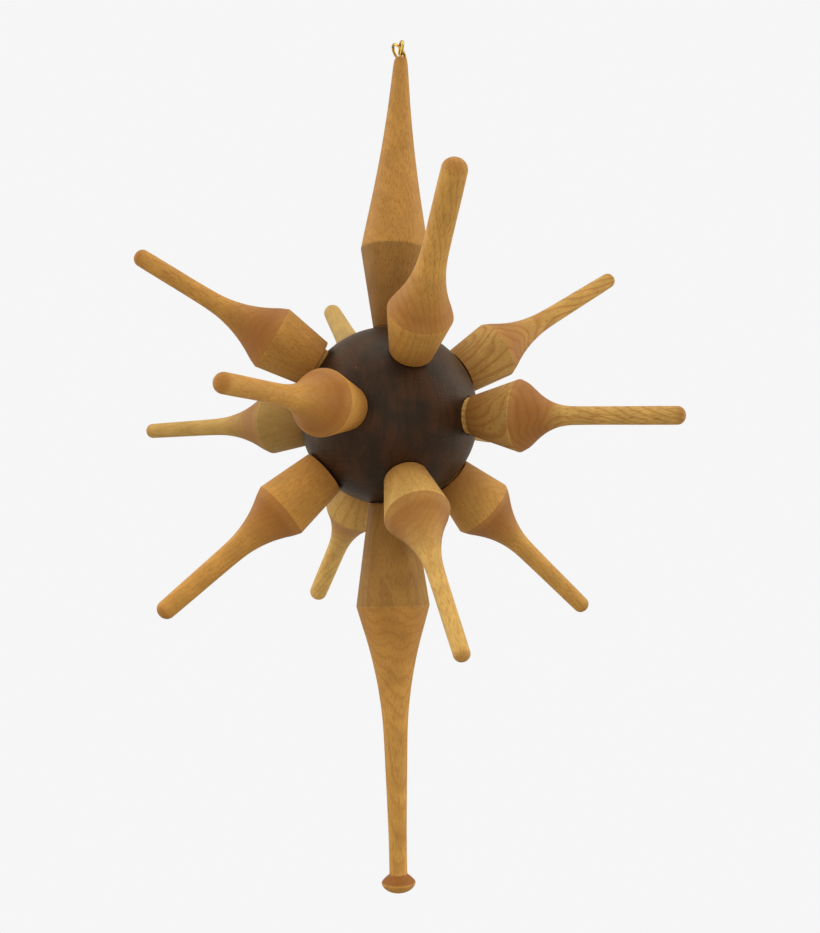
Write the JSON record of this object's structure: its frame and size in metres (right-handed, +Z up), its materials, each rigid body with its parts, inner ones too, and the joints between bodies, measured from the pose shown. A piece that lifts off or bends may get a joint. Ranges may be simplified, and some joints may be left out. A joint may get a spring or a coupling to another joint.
{
  "type": "hanging star ornament",
  "caption": "Turned wooden hanging star: pale ridged spikes push into drilled sockets round a dark ball, and a longer top spike carries a brass screw eye with a loose ring.",
  "frame": {"origin": "inside top of the screw eye's hole, where the star hangs from a hook or cord", "axes": "+Z up, along the top spike; +X along the first spike of the level row; the ball's centre is straight below the origin"},
  "size_m": [0.1671, 0.1656, 0.2396],
  "materials": {
    "pale_wood": "satin",
    "dark_wood": "satin",
    "brass": "polished"
  },
  "bodies": {
    "ball": {"hub_ball": "dark_wood"},
    "equator_spike_1": {"equator_spike_1": "pale_wood"},
    "equator_spike_2": {"equator_spike_2": "pale_wood"},
    "equator_spike_3": {"equator_spike_3": "pale_wood"},
    "equator_spike_4": {"equator_spike_4": "pale_wood"},
    "upper_spike_1": {"upper_spike_1": "pale_wood"},
    "upper_spike_2": {"upper_spike_2": "pale_wood"},
    "upper_spike_3": {"upper_spike_3": "pale_wood"},
    "upper_spike_4": {"upper_spike_4": "pale_wood"},
    "lower_spike_1": {"lower_spike_1": "pale_wood"},
    "lower_spike_2": {"lower_spike_2": "pale_wood"},
    "lower_spike_3": {"lower_spike_3": "pale_wood"},
    "lower_spike_4": {"lower_spike_4": "pale_wood"},
    "bottom_spike": {"bottom_spike": "pale_wood"},
    "top_spike": {"top_spike": "pale_wood", "screw_eye": "brass"},
    "ring": {"hanging_ring": "brass"}
  },
  "joints": [
    {"name": "equator_spike_1_pull", "type": "slide", "parent": "ball", "child": "equator_spike_1", "axis": [0.9997, 0, -0.0227], "range_m": [0, 0.01]},
    {"name": "equator_spike_2_pull", "type": "slide", "parent": "ball", "child": "equator_spike_2", "axis": [-0.0349, 0.9988, 0.0349], "range_m": [0, 0.01]},
    {"name": "equator_spike_3_pull", "type": "slide", "parent": "ball", "child": "equator_spike_3", "axis": [-0.999, -0.0262, -0.0349], "range_m": [0, 0.01]},
    {"name": "equator_spike_4_pull", "type": "slide", "parent": "ball", "child": "equator_spike_4", "axis": [0.0262, -0.9992, -0.0314], "range_m": [0, 0.01]},
    {"name": "upper_spike_1_pull", "type": "slide", "parent": "ball", "child": "upper_spike_1", "axis": [0.5862, 0.5862, 0.5592], "range_m": [0, 0.01]},
    {"name": "upper_spike_2_pull", "type": "slide", "parent": "ball", "child": "upper_spike_2", "axis": [-0.6029, 0.6029, 0.5225], "range_m": [0, 0.01]},
    {"name": "upper_spike_3_pull", "type": "slide", "parent": "ball", "child": "upper_spike_3", "axis": [-0.654, -0.5993, 0.4617], "range_m": [0, 0.01]},
    {"name": "upper_spike_4_pull", "type": "slide", "parent": "ball", "child": "upper_spike_4", "axis": [0.4851, -0.621, 0.6157], "range_m": [0, 0.01]},
    {"name": "lower_spike_1_pull", "type": "slide", "parent": "ball", "child": "lower_spike_1", "axis": [0.5273, 0.5557, -0.6428], "range_m": [0, 0.01]},
    {"name": "lower_spike_2_pull", "type": "slide", "parent": "ball", "child": "lower_spike_2", "axis": [-0.582, 0.515, -0.6293], "range_m": [0, 0.01]},
    {"name": "lower_spike_3_pull", "type": "slide", "parent": "ball", "child": "lower_spike_3", "axis": [-0.5392, -0.4941, -0.682], "range_m": [0, 0.01]},
    {"name": "lower_spike_4_pull", "type": "slide", "parent": "ball", "child": "lower_spike_4", "axis": [0.508, -0.4738, -0.7193], "range_m": [0, 0.01]},
    {"name": "bottom_spike_pull", "type": "slide", "parent": "ball", "child": "bottom_spike", "axis": [0.0462, 0.0246, -0.9986], "range_m": [0, 0.01]},
    {"name": "top_spike_pull", "type": "slide", "parent": "ball", "child": "top_spike", "axis": [0, 0, 1], "range_m": [0, 0.01]},
    {"name": "ring_swing", "type": "hinge", "parent": "top_spike", "child": "ring", "pos_m": [0, 0, -0.0013], "axis": [0.6428, -0.766, 0], "range_deg": [0, 100]}
  ]
}
